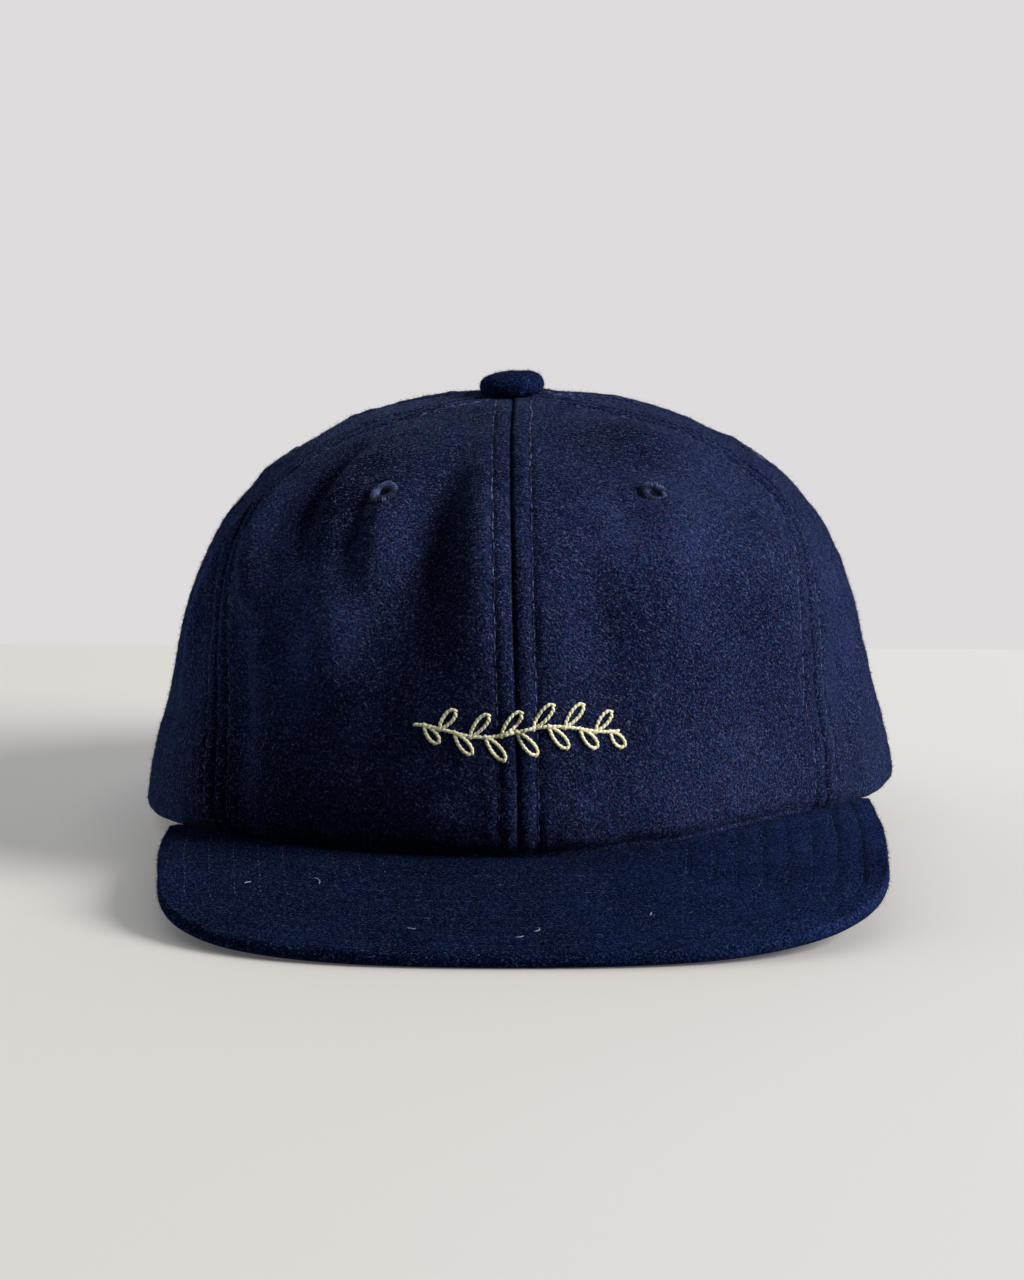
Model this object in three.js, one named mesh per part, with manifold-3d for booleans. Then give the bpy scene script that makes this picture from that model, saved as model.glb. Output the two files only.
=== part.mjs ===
// A six panel wool cap with a short brim, as it rests on its back hem and the tip of its brim.
// Millimetres, +Z up, the front towards -Y. Left and right are as seen from the front.
// Heights and depths are taken from the point on the floor below the crown's middle.

import * as THREE from "three";
import { mergeVertices } from "three/addons/utils/BufferGeometryUtils.js";
import Module from "manifold-3d";

const wasm = await Module();
wasm.setup();

// Driving dimensions
const WALL = 2;
const GAP = 0.3;
const CROWN_HEIGHT = 110.6;
const CROWN_ARC = 157;
const CROWN_SHIFT = -0.2;
const TOP_LEAN = -1.7;
const BACK_SEAM_AZIMUTH = 120;

const SEAM_GROOVE = { depth: 0.8, halfWidth: 2, fadeRadius: 30 };

const BRIM = {
  halfWidth: 87.4,
  shift: 0.6,
  widestY: -107.8,
  tipY: -163.1,
  squareness: 2.57,
  thickness: 3.8,
  endAzimuth: 64,
  tuckedMargin: 4,
  endWidth: 1.5,
  edgeRound: 1.4,
};

const BUTTON = { radius: 8.25, height: 5.8, sides: 28 };
const EYELET = { share: 0.62, hole: 2.2, outer: 3.75, bore: 1.2, sides: 14 };

// The crown from its hem to its apex: a row for each section, by its share of the arc from hem to apex.
// climb is the share of the height. Squareness shapes the front half, stiffened at its two corners.
// The seam is the azimuth of the one between a front and a side panel.
const CROWN_SECTIONS = [
  { share: 0.0, climb: 0.0, halfWidth: 96.3, front: 97.0, back: 99.0, squareness: 2.0, seam: 52.5 },
  { share: 0.1, climb: 0.14, halfWidth: 93.8, front: 97.5, back: 98.5, squareness: 2.05, seam: 52.0 },
  { share: 0.2, climb: 0.29, halfWidth: 89.6, front: 97.0, back: 96.5, squareness: 2.1, seam: 52.5 },
  { share: 0.3, climb: 0.44, halfWidth: 86.4, front: 95.0, back: 93.0, squareness: 2.25, seam: 53.5 },
  { share: 0.395, climb: 0.58, halfWidth: 82.0, front: 90.0, back: 87.0, squareness: 2.45, seam: 56.0 },
  { share: 0.49, climb: 0.705, halfWidth: 75.1, front: 82.0, back: 78.0, squareness: 2.65, seam: 60.0 },
  { share: 0.59, climb: 0.815, halfWidth: 64.0, front: 69.5, back: 66.0, squareness: 2.75, seam: 65.0 },
  { share: 0.69, climb: 0.9, halfWidth: 50.3, front: 53.5, back: 52.0, squareness: 2.65, seam: 68.0 },
  { share: 0.8, climb: 0.96, halfWidth: 34.0, front: 35.0, back: 35.0, squareness: 2.35, seam: 67.0 },
  { share: 0.965, climb: 1.0, halfWidth: 7.0, front: 7.0, back: 7.0, squareness: 2.0, seam: 61.0 },
  { share: 1.0, climb: 1.0, halfWidth: 1.5, front: 1.5, back: 1.5, squareness: 2.0, seam: 60.0 },
];

// How high the hem stands above the floor, by azimuth from the front, left negative.
const HEM_HEIGHTS = [
  { azimuth: -180, height: 0 },
  { azimuth: -145, height: 0 },
  { azimuth: -118, height: 2 },
  { azimuth: -90, height: 4.8 },
  { azimuth: -66, height: 7.5 },
  { azimuth: -45, height: 9.9 },
  { azimuth: -25, height: 10.7 },
  { azimuth: 0, height: 11 },
  { azimuth: 25, height: 13.7 },
  { azimuth: 45, height: 15.8 },
  { azimuth: 66, height: 14.4 },
  { azimuth: 90, height: 12.8 },
  { azimuth: 118, height: 7.5 },
  { azimuth: 145, height: 0 },
  { azimuth: 180, height: 0 },
];

// How high the underside of the brim's edge stands, from its tip (share 0) to its widest place (share 1).
const BRIM_EDGE_HEIGHTS = [
  { share: 0, left: 0, right: 0 },
  { share: 0.25, left: 0.2, right: 0.6 },
  { share: 0.5, left: 0.9, right: 2.6 },
  { share: 0.75, left: 3.0, right: 6.0 },
  { share: 1, left: 7.2, right: 10.4 },
];

// The soft folds of the cloth. Out is positive for a ridge and negative for a dent.
// Along and across are half lengths, and turn leans the top of a fold to the right, in degrees.
const FOLDS = [
  { azimuth: -10, share: 0.46, along: 30, across: 6.5, turn: -3, out: -1.7 },
  { azimuth: -18.5, share: 0.42, along: 24, across: 7, turn: 0, out: 1.0 },
  { azimuth: -37.5, share: 0.41, along: 20, across: 8, turn: -8, out: 1.2 },
  { azimuth: -40, share: 0.585, along: 19, across: 5, turn: -13, out: -2.0 },
  { azimuth: -57.5, share: 0.3, along: 17, across: 4.5, turn: 0, out: 1.1 },
  { azimuth: -50, share: 0.225, along: 24, across: 4, turn: 0, out: -1.3 },
  { azimuth: 49, share: 0.63, along: 11, across: 15, turn: 0, out: -1.9 },
  { azimuth: 28, share: 0.33, along: 26, across: 14, turn: 10, out: 0.8 },
  { azimuth: 61, share: 0.2, along: 24, across: 5, turn: 8, out: -1.2 },
  { azimuth: 100, share: 0.34, along: 26, across: 10, turn: 14, out: -1.6 },
  { azimuth: -104, share: 0.3, along: 24, across: 9, turn: -12, out: -1.6 },
  { azimuth: 146, share: 0.42, along: 26, across: 10, turn: -10, out: -1.5 },
  { azimuth: -150, share: 0.36, along: 28, across: 11, turn: 12, out: -1.6 },
];

// A smooth curve through one column of a table that never overshoots its rows.
function smoothColumn(rows, place, column) {
  const at = rows.map((row) => row[place]);
  const value = rows.map((row) => row[column]);
  const last = rows.length - 1;
  const slope = at.slice(1).map((x, i) => (value[i + 1] - value[i]) / (x - at[i]));
  const tangent = at.map((_, i) => {
    if (i === 0) return slope[0];
    if (i === last) return slope[last - 1];
    const product = slope[i - 1] * slope[i];
    return product > 0 ? (2 * product) / (slope[i - 1] + slope[i]) : 0;
  });
  return (x) => {
    let i = 0;
    while (i < last - 1 && x >= at[i + 1]) i += 1;
    const step = at[i + 1] - at[i];
    const s = (x - at[i]) / step;
    const rise = s * s * (3 - 2 * s);
    const bend = s * (1 - s) * ((1 - s) * tangent[i] - s * tangent[i + 1]);
    return value[i] + (value[i + 1] - value[i]) * rise + step * bend;
  };
}

const sectionColumn = (column) => smoothColumn(CROWN_SECTIONS, "share", column);
const climbAt = sectionColumn("climb");
const halfWidthAt = sectionColumn("halfWidth");
const frontAt = sectionColumn("front");
const backAt = sectionColumn("back");
const squarenessAt = sectionColumn("squareness");
const frontSeamAt = sectionColumn("seam");
const hemHeightAt = smoothColumn(HEM_HEIGHTS, "azimuth", "height");

const radians = THREE.MathUtils.degToRad;
const halfTurnWrap = (azimuth) => THREE.MathUtils.euclideanModulo(azimuth + 180, 360) - 180;

// The crown's outer surface before its folds, by azimuth in degrees from the front and share of the arc.
function smoothCrown(azimuth, share) {
  const sine = Math.sin(radians(azimuth));
  const cosine = Math.cos(radians(azimuth));
  const isFront = cosine > 0;
  const depth = isFront ? frontAt(share) : backAt(share);
  const power = isFront ? squarenessAt(share) : 2;
  const width = halfWidthAt(share);
  const radius = (Math.abs(cosine / depth) ** power + Math.abs(sine / width) ** power) ** (-1 / power);
  const hem = hemHeightAt(halfTurnWrap(azimuth));
  const lean = TOP_LEAN * (1 - width / CROWN_SECTIONS[0].halfWidth) ** 3;
  return new THREE.Vector3(
    radius * sine + lean + CROWN_SHIFT,
    -radius * cosine,
    hem + (CROWN_HEIGHT - hem) * climbAt(share),
  );
}

function crownNormal(azimuth, share) {
  const low = Math.max(share - 0.002, 0);
  const high = Math.min(share + 0.002, 1);
  const around = smoothCrown(azimuth + 0.5, share).sub(smoothCrown(azimuth - 0.5, share));
  const upward = smoothCrown(azimuth, high).sub(smoothCrown(azimuth, low));
  return around.cross(upward).normalize();
}

const radiusAt = (azimuth, share) => {
  const point = smoothCrown(azimuth, share);
  return Math.hypot(point.x, point.y);
};

// Millimetres along the cloth from one azimuth to another at the same height.
function clothDistance(from, to, share) {
  return radians(halfTurnWrap(to - from)) * radiusAt(from, share);
}

function foldRelief(azimuth, share) {
  let relief = 0;
  for (const fold of FOLDS) {
    const side = clothDistance(fold.azimuth, azimuth, fold.share);
    const up = (share - fold.share) * CROWN_ARC;
    const turn = radians(fold.turn);
    const along = (up * Math.cos(turn) + side * Math.sin(turn)) / fold.along;
    const across = (side * Math.cos(turn) - up * Math.sin(turn)) / fold.across;
    relief += fold.out * Math.exp(-(along * along) - across * across);
  }
  return relief;
}

function seamAzimuths(share) {
  const front = frontSeamAt(share);
  return [-BACK_SEAM_AZIMUTH, -front, 0, front, BACK_SEAM_AZIMUTH, 180];
}

function seamRelief(azimuth, share) {
  const distances = seamAzimuths(share).map((seam) => Math.abs(clothDistance(seam, azimuth, share)));
  const nearest = Math.min(...distances) / SEAM_GROOVE.halfWidth;
  const fade = Math.min(1, radiusAt(azimuth, share) / SEAM_GROOVE.fadeRadius);
  return -SEAM_GROOVE.depth * fade * Math.exp(-nearest * nearest);
}

// A point in the cloth, so many millimetres below its outer face. The hem's edge is level.
function clothPoint(azimuth, share, below) {
  const out = foldRelief(azimuth, share) + seamRelief(azimuth, share) - below;
  const point = smoothCrown(azimuth, share);
  const level = point.z;
  point.addScaledVector(crownNormal(azimuth, share), out);
  if (share === 0) point.z = level;
  return point;
}

// One closed solid between two grids of points, outer and inner, with the same rows and columns.
// Seen from outside, the rows go up and the columns go to the right.
function solidBetween(outer, inner) {
  const rows = outer.length;
  const columns = outer[0].length;
  const points = [...outer.flat(), ...inner.flat()];
  const front = (row, column) => row * columns + column;
  const back = (row, column) => rows * columns + front(row, column);
  const faces = [];
  const quad = (a, b, c, d) => faces.push(a, b, c, a, c, d);
  for (let row = 0; row < rows - 1; row += 1) {
    for (let column = 0; column < columns - 1; column += 1) {
      const next = column + 1;
      quad(front(row, column), front(row, next), front(row + 1, next), front(row + 1, column));
      quad(back(row, column), back(row + 1, column), back(row + 1, next), back(row, next));
    }
    const right = columns - 1;
    quad(front(row, 0), front(row + 1, 0), back(row + 1, 0), back(row, 0));
    quad(front(row, right), back(row, right), back(row + 1, right), front(row + 1, right));
  }
  const top = rows - 1;
  for (let column = 0; column < columns - 1; column += 1) {
    const next = column + 1;
    quad(front(0, column), back(0, column), back(0, next), front(0, next));
    quad(front(top, column), front(top, next), back(top, next), back(top, column));
  }
  const geometry = new THREE.BufferGeometry();
  geometry.setAttribute("position", new THREE.Float32BufferAttribute(points.flatMap((p) => p.toArray()), 3));
  geometry.setIndex(faces);
  return geometry;
}

function toManifold(geometry) {
  const bare = geometry.clone();
  bare.deleteAttribute("normal");
  bare.deleteAttribute("uv");
  const merged = mergeVertices(bare, 1e-4);
  const vertProperties = new Float32Array(merged.attributes.position.array);
  const triVerts = new Uint32Array(merged.index.array);
  return new wasm.Manifold(new wasm.Mesh({ numProp: 3, vertProperties, triVerts }));
}

function fromManifold(solid) {
  const mesh = solid.getMesh();
  const geometry = new THREE.BufferGeometry();
  geometry.setAttribute("position", new THREE.BufferAttribute(mesh.vertProperties, 3));
  geometry.setIndex(new THREE.BufferAttribute(mesh.triVerts, 1));
  return geometry;
}

// Stands a shape made along +Y on the cloth at an eyelet's place, pointing out.
function placeOnCrown(object, azimuth) {
  const outward = crownNormal(azimuth, EYELET.share);
  object.position.copy(clothPoint(azimuth, EYELET.share, 0));
  object.quaternion.setFromUnitVectors(new THREE.Vector3(0, 1, 0), outward);
  object.updateMatrix();
  return object;
}

const PANEL_ROWS = 17;
const PANEL_COLUMNS = 12;
const SEAM_COLUMN = 3.5;

// The columns of a panel at one height: one close to each seam, where the cloth dips, and even ones between.
function panelAzimuths(fromAzimuth, toAzimuth, share) {
  const radius = radiusAt((fromAzimuth + toAzimuth) / 2, share);
  const width = radians(toAzimuth - fromAzimuth) * radius;
  const seamShare = Math.min(SEAM_COLUMN / width, 0.7 / PANEL_COLUMNS);
  const gapShare = GAP / 2 / width;
  const shares = [gapShare, seamShare];
  for (let i = 1; i < PANEL_COLUMNS; i += 1) shares.push(i / PANEL_COLUMNS);
  shares.push(1 - seamShare, 1 - gapShare);
  return shares.map((part) => THREE.MathUtils.lerp(fromAzimuth, toAzimuth, part));
}

// seams gives a panel's two edges for a share of the arc, in degrees, the smaller azimuth first.
function panelGeometry(seams, eyeletAzimuth) {
  const outer = [];
  const inner = [];
  for (let row = 0; row <= PANEL_ROWS; row += 1) {
    const share = row / PANEL_ROWS;
    const [from, to] = seams(share);
    const azimuths = panelAzimuths(from, to, share);
    outer.push(azimuths.map((azimuth) => clothPoint(azimuth, share, 0)));
    inner.push(azimuths.map((azimuth) => clothPoint(azimuth, share, WALL)));
  }
  const drill = new THREE.CylinderGeometry(EYELET.hole, EYELET.hole, 6 * WALL, EYELET.sides);
  drill.applyMatrix4(placeOnCrown(new THREE.Object3D(), eyeletAzimuth).matrix);
  return fromManifold(toManifold(solidBetween(outer, inner)).subtract(toManifold(drill)));
}

const PANELS = [
  { name: "front_panel_left", seams: (share) => [-frontSeamAt(share), 0], eyelet: -29 },
  { name: "front_panel_right", seams: (share) => [0, frontSeamAt(share)], eyelet: 28 },
  { name: "side_panel_left", seams: (share) => [-BACK_SEAM_AZIMUTH, -frontSeamAt(share)], eyelet: -95 },
  { name: "side_panel_right", seams: (share) => [frontSeamAt(share), BACK_SEAM_AZIMUTH], eyelet: 95 },
  { name: "back_panel_left", seams: () => [-180, -BACK_SEAM_AZIMUTH], eyelet: -150 },
  { name: "back_panel_right", seams: () => [BACK_SEAM_AZIMUTH, 180], eyelet: 150 },
];

// The brim's outline: round the front as a squared ellipse, then nearly straight back to the crown.
const BRIM_FRONT_PART = 0.8;
function brimEdge(part) {
  const side = Math.sign(part) || 1;
  const share = Math.min(Math.abs(part) / BRIM_FRONT_PART, 1);
  const power = 2 / BRIM.squareness;
  const angle = (share * Math.PI) / 2;
  const end = brimSeat(side, BRIM.endWidth);
  const back = Math.max((Math.abs(part) - BRIM_FRONT_PART) / (1 - BRIM_FRONT_PART), 0);
  const heights = smoothColumn(BRIM_EDGE_HEIGHTS, "share", side < 0 ? "left" : "right");
  const point = new THREE.Vector3(
    side * BRIM.halfWidth * Math.sin(angle) ** power + BRIM.shift,
    BRIM.widestY + (BRIM.tipY - BRIM.widestY) * Math.max(Math.cos(angle), 0) ** power,
    heights(share) + BRIM.thickness,
  );
  return point.lerp(end, back);
}

// A point of the brim's upper face below the crown's wall, so many millimetres outside the wall's face.
function brimSeat(part, outside) {
  const azimuth = part * BRIM.endAzimuth;
  const point = smoothCrown(azimuth, 0);
  const outward = crownNormal(azimuth, 0).setZ(0).normalize();
  point.addScaledVector(outward, outside);
  point.z -= GAP;
  return point;
}

const BRIM_ACROSS = 26;
const BRIM_DEPTH_ROWS = [0.25, 0.5, 0.75];

// One row of points from the tucked margin out to the rounded edge, on the upper or the under side.
function brimRow(part, isTop) {
  const seat = brimSeat(part, BRIM.endWidth / 2);
  const edge = brimEdge(part);
  const outward = edge.clone().sub(seat).setZ(0).normalize();
  const row = [brimSeat(part, -BRIM.tuckedMargin), seat];
  const flatEnd = edge.clone().addScaledVector(outward, -BRIM.edgeRound);
  const roomy = flatEnd.clone().sub(seat).dot(outward) > 0;
  const last = roomy ? flatEnd : seat.clone().lerp(edge, 0.3);
  for (const share of BRIM_DEPTH_ROWS) row.push(seat.clone().lerp(last, share));
  row.push(last);
  row.push(last.clone().lerp(edge, 0.7));
  row.push(edge.clone());
  const drops = row.map(() => 0);
  drops[row.length - 2] = 0.14 * BRIM.thickness;
  drops[row.length - 1] = 0.34 * BRIM.thickness;
  row.forEach((point, i) => {
    point.z -= isTop ? drops[i] : BRIM.thickness - drops[i];
  });
  return row;
}

function brimGeometry() {
  const top = [];
  const under = [];
  for (let i = 0; i <= 2 * BRIM_ACROSS; i += 1) {
    const part = i / BRIM_ACROSS - 1;
    top.push(brimRow(part, true));
    under.push(brimRow(part, false));
  }
  return solidBetween(top, under);
}

function buttonGeometry() {
  const { radius, height, sides } = BUTTON;
  const profile = [
    [0, 0],
    [0.78 * radius, 0],
    [0.95 * radius, 0.15 * height],
    [radius, 0.38 * height],
    [0.97 * radius, 0.62 * height],
    [0.83 * radius, 0.83 * height],
    [0.56 * radius, 0.95 * height],
    [0, height],
  ];
  return new THREE.LatheGeometry(profile.map(([r, h]) => new THREE.Vector2(r, h)), sides).rotateX(Math.PI / 2);
}

// A ring of thread worked round the hole: a raised lip outside, a sleeve through the cloth, a lip inside.
function eyeletGeometry() {
  const { hole, outer, bore, sides } = EYELET;
  const sleeve = hole - GAP;
  const innerFace = -WALL - GAP - 0.1;
  const profile = [
    [bore, innerFace - 0.5],
    [outer - 0.8, innerFace - 0.5],
    [outer - 0.8, innerFace],
    [sleeve, innerFace],
    [sleeve, GAP],
    [outer, GAP],
    [outer - 0.2, GAP + 0.5],
    [outer - 1.2, GAP + 0.8],
    [bore, GAP + 0.4],
    [bore, innerFace - 0.5],
  ];
  return new THREE.LatheGeometry(profile.map(([r, h]) => new THREE.Vector2(r, h)), sides);
}

const wool = new THREE.MeshStandardMaterial({ color: 0x1b2547, roughness: 0.95, metalness: 0 });
const brimWool = new THREE.MeshStandardMaterial({ color: 0x182140, roughness: 0.95, metalness: 0 });
const eyeletThread = new THREE.MeshStandardMaterial({ color: 0x2b3352, roughness: 0.8, metalness: 0 });

function namedMesh(name, geometry, material) {
  const mesh = new THREE.Mesh(geometry, material);
  mesh.name = name;
  return mesh;
}

const cap = new THREE.Group();
for (const { name, seams, eyelet } of PANELS) {
  cap.add(namedMesh(name, panelGeometry(seams, eyelet), wool));
  const ring = namedMesh(name.replace("panel", "eyelet"), eyeletGeometry(), eyeletThread);
  cap.add(placeOnCrown(ring, eyelet));
}
cap.add(namedMesh("brim", brimGeometry(), brimWool));
const button = namedMesh("top_button", buttonGeometry(), wool);
button.position.set(TOP_LEAN + CROWN_SHIFT, 0, CROWN_HEIGHT + GAP);
cap.add(button);

// The origin is the middle of the cap's footprint, on the floor.
const box = new THREE.Box3().setFromObject(cap);
const middle = box.getCenter(new THREE.Vector3());
cap.position.set(-middle.x, -middle.y, -box.min.z);

export default cap;
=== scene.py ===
# %% [markdown]
# # A six panel cap in navy melton wool
#
# A cap like this is six curved panels sewn edge to edge, a short and nearly flat brim, a covered
# button where the seams meet and one sewn eyelet in each panel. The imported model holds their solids
# at the real size. This lesson gives them what wool has: soft folds, rolled seams, rows of
# stitching and a nap of loose fibres. Lengths are in millimetres, as a hatter would write them, and
# each piece is turned into Blender's metres when it is placed.

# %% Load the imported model
import bpy
import numpy as np
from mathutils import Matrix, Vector


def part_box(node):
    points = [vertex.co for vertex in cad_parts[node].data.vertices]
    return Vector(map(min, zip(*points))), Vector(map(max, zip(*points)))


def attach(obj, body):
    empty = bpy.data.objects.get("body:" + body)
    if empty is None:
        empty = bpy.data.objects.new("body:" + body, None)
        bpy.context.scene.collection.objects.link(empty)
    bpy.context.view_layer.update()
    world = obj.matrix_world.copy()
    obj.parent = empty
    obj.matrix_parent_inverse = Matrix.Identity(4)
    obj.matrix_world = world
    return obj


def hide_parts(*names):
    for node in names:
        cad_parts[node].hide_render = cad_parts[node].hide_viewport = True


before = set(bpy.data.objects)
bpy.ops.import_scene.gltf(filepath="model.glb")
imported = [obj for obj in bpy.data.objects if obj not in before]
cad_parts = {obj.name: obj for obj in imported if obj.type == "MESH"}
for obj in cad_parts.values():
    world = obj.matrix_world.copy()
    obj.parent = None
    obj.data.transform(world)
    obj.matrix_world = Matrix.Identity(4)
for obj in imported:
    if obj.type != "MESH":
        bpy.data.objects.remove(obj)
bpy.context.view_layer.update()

MM = 0.001
BRIM_TIP = 163.1
BRIM_SHIFT = 0.6
brim_low, brim_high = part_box("brim")
crown_axis = np.array([(brim_low[0] + brim_high[0]) / 2 - BRIM_SHIFT * MM, brim_low[1] + BRIM_TIP * MM, 0.0])
print("the crown's axis stands at", crown_axis)

# %% [markdown]
# ## The camera
#
# The cap was photographed from the front, a little above the brim, with a long lens that hardly
# bends its lines. A camera can be placed by eye, or worked out from places whose real size is
# known. Here it was worked out, so it is placed by an angle, a distance and a target.

# %% Place the camera
CAMERA_TARGET = (-2.06, 0.0, 46.9)
CAMERA_ELEVATION = 10.5
CAMERA_DISTANCE = 1400.0
LENS = 152.8


def seen_from(azimuth, elevation, distance, target):
    """Where something stands that looks at the target, and how it is turned."""
    turn, climb = np.radians((azimuth, elevation))
    back = Vector((np.sin(turn) * np.cos(climb), -np.cos(turn) * np.cos(climb), np.sin(climb)))
    place = Vector(crown_axis) + Vector(target) * MM + back * distance * MM
    return place, back.to_track_quat("Z", "Y").to_euler()


place, turn = seen_from(0, CAMERA_ELEVATION, CAMERA_DISTANCE, CAMERA_TARGET)
bpy.ops.object.camera_add(location=place, rotation=turn)
camera = bpy.context.object
camera.data.lens = LENS
bpy.context.scene.camera = camera
print("camera", tuple(round(value, 3) for value in place))

# %% [markdown]
# ## Floor and light
#
# The picture has a pale table, one wide window light from the right and a dim left side, so the
# right of the crown is clear and the folds on the left sink into the dark. A bright world alone
# would light every side alike. A sun as wide as a window gives the direction, and the world only
# fills: it is brightest where a wall stands behind the cap, and faint from below, as off a table.
# The table is one large sheet. Past its edges, where it is seen at a low angle, its shader paints
# the wall, and a little of its own light keeps the shadow as soft as in a white room. That glow is
# lower close under the cap, a painted contact shadow, and the sheet's colour is painted lighter
# toward the window on the right.

# %% Make helpers that wire a finish and add a shape
def feed(tree, socket, value):
    """Links an output to a socket, or gives the socket a plain value."""
    if isinstance(value, bpy.types.NodeSocket):
        tree.links.new(value, socket)
    else:
        socket.default_value = value


def node(tree, kind, inputs=None, **settings):
    """Adds a node. Its inputs are plain values or other nodes' outputs, its settings go by name."""
    made = tree.nodes.new(kind)
    for setting, value in settings.items():
        setattr(made, setting, value)
    for socket, value in (inputs or {}).items():
        feed(tree, made.inputs[socket], value)
    return made


def reckon(tree, way, *values):
    return node(tree, "ShaderNodeMath", dict(enumerate(values)), operation=way).outputs[0]


def reach_along(tree, vector, way):
    """How far a vector reaches in one direction."""
    return node(tree, "ShaderNodeVectorMath", {0: vector, 1: way}, operation="DOT_PRODUCT").outputs["Value"]


def between(tree, value, low, high, to_low=0.0, to_high=1.0):
    """Spreads the values from low to high over to_low to to_high, and holds those beyond."""
    return node(tree, "ShaderNodeMapRange", {"Value": value, "From Min": low, "From Max": high,
                                             "To Min": to_low, "To Max": to_high}).outputs[0]


def ramp(tree, source, stops):
    """Turns a grey value into colours or other greys, by stops of place and colour."""
    made = node(tree, "ShaderNodeValToRGB", {"Fac": source})
    bar = made.color_ramp
    while len(bar.elements) < len(stops):
        bar.elements.new(0.5)
    for element, (position, colour) in zip(bar.elements, stops):
        element.position = position
        element.color = (*colour, 1) if isinstance(colour, tuple) else (colour, colour, colour, 1)
    return made.outputs["Color"]


def new_finish(name):
    made = bpy.data.materials.new(name)
    made.use_nodes = True
    return made, made.node_tree


def dress(tree, **sockets):
    """Sets the sockets of a finish's shader, each to a plain value or to another node's output."""
    shader = tree.nodes["Principled BSDF"]
    for socket, value in sockets.items():
        feed(tree, shader.inputs[socket.replace("_", " ")], value)
    return shader.outputs["BSDF"]


def add(primitive, name, **settings):
    """Adds a primitive, with nothing else selected."""
    bpy.ops.object.select_all(action="DESELECT")
    primitive(**settings)
    bpy.context.object.name = name
    return bpy.context.object


# %% Lay the floor
WALL_TONE = (0.728, 0.712, 0.722)
# The floor's colour is painted darker and warmer to the left, lighter to the right: painted light from the
# window side.
FLOOR_PAINTED_LIGHT_TONES = [(0.0, (0.498, 0.464, 0.440)), (1.0, (0.612, 0.597, 0.580))]
FLOOR_GLOW_TONE = (1.0, 0.925, 0.87, 1)
FLOOR_GLOW = 0.205
GLOW_IN_PAINTED_CONTACT_SHADOW = 0.06
TABLE_BACK = 240.2
TABLE_SIDE = -600
TABLE_TURN = 0.03
EDGE_WIDTH = 3
table_back = crown_axis[1] + TABLE_BACK * MM
floor_finish, tree = new_finish("floor_paper")
place = node(tree, "ShaderNodeTexCoord").outputs["Object"]
rightward = node(tree, "ShaderNodeSeparateXYZ", {0: place}).outputs["X"]
# The floor's glow drops where the cap stands close above it: a painted contact shadow.
contact_shadow_mask = node(tree, "ShaderNodeAmbientOcclusion", {"Distance": 0.025}).outputs["AO"]
table = dress(tree, Base_Color=ramp(tree, between(tree, rightward, -0.2, 0.25), FLOOR_PAINTED_LIGHT_TONES),
              Emission_Color=FLOOR_GLOW_TONE, Roughness=0.8, Specular_IOR_Level=0.1,
              Emission_Strength=between(tree, contact_shadow_mask, 0.25, 1.0, GLOW_IN_PAINTED_CONTACT_SHADOW, FLOOR_GLOW))
backward = reach_along(tree, place, (TABLE_TURN, 1.0, 0.0))
past_back = between(tree, backward, table_back, table_back + EDGE_WIDTH * MM)
past_side = between(tree, rightward, TABLE_SIDE * MM, (TABLE_SIDE - EDGE_WIDTH) * MM)
slant = node(tree, "ShaderNodeLayerWeight", {"Blend": 0.5}).outputs["Facing"]
past_edge = reckon(tree, "MAXIMUM", past_side, past_back)
is_wall = reckon(tree, "MULTIPLY", past_edge, between(tree, slant, 0.72, 0.79))
wall_paint = node(tree, "ShaderNodeEmission", {"Color": (*WALL_TONE, 1)}).outputs[0]
painted = node(tree, "ShaderNodeMixShader", {0: is_wall, 1: table, 2: wall_paint})
feed(tree, tree.nodes["Material Output"].inputs["Surface"], painted.outputs[0])
floor = add(bpy.ops.mesh.primitive_plane_add, "floor", size=16)
floor.data.materials.append(floor_finish)
floor.visible_diffuse = False
print("the table ends", TABLE_BACK, "mm behind the crown's axis")

# %% Set the light
SUN_AZIMUTH = 72
SUN_ELEVATION = 28
SUN_WIDTH = 30
SUN_STRENGTH = 4.5
place, turn = seen_from(SUN_AZIMUTH, SUN_ELEVATION, 1500, (0, 0, 40))
bpy.ops.object.light_add(type="SUN", location=place, rotation=turn)
window = bpy.context.object
window.name = "window"
window.data.angle = np.radians(SUN_WIDTH)
window.data.energy = SUN_STRENGTH
window.data.color = (1.0, 0.985, 0.965)
print("window light from", SUN_AZIMUTH, "degrees right,", SUN_ELEVATION, "up")

# %% Fill the room
WALL_DIRECTION = (-0.3, 0.95, 0.0)
WALL_STRENGTH = 1.7
ROOM_TINT = (0.82, 0.94, 1.0, 1)
world = bpy.data.worlds.new("pale_room")
bpy.context.scene.world = world
world.use_nodes = True
tree = world.node_tree
direction = node(tree, "ShaderNodeTexCoord").outputs["Generated"]
upward = node(tree, "ShaderNodeSeparateXYZ", {0: direction}).outputs["Z"]
behind = between(tree, reach_along(tree, direction, WALL_DIRECTION), -0.1, 0.7)
wall = reckon(tree, "MULTIPLY", behind, between(tree, upward, 1.0, 0.35))
from_below = between(tree, upward, 0.05, -0.25, 0.04, 0.26)
strength = reckon(tree, "MULTIPLY_ADD", wall, WALL_STRENGTH, from_below)
room = node(tree, "ShaderNodeBackground", {"Color": ROOM_TINT, "Strength": strength}).outputs[0]
seen = node(tree, "ShaderNodeBackground", {"Color": (*WALL_TONE, 1)}).outputs[0]
by_eye = node(tree, "ShaderNodeLightPath").outputs["Is Camera Ray"]
both = node(tree, "ShaderNodeMixShader", {0: by_eye, 1: room, 2: seen})
feed(tree, tree.nodes["World Output"].inputs["Surface"], both.outputs[0])
bpy.context.scene.view_settings.view_transform = "Standard"
print("the room has", len(tree.nodes), "nodes")

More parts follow.
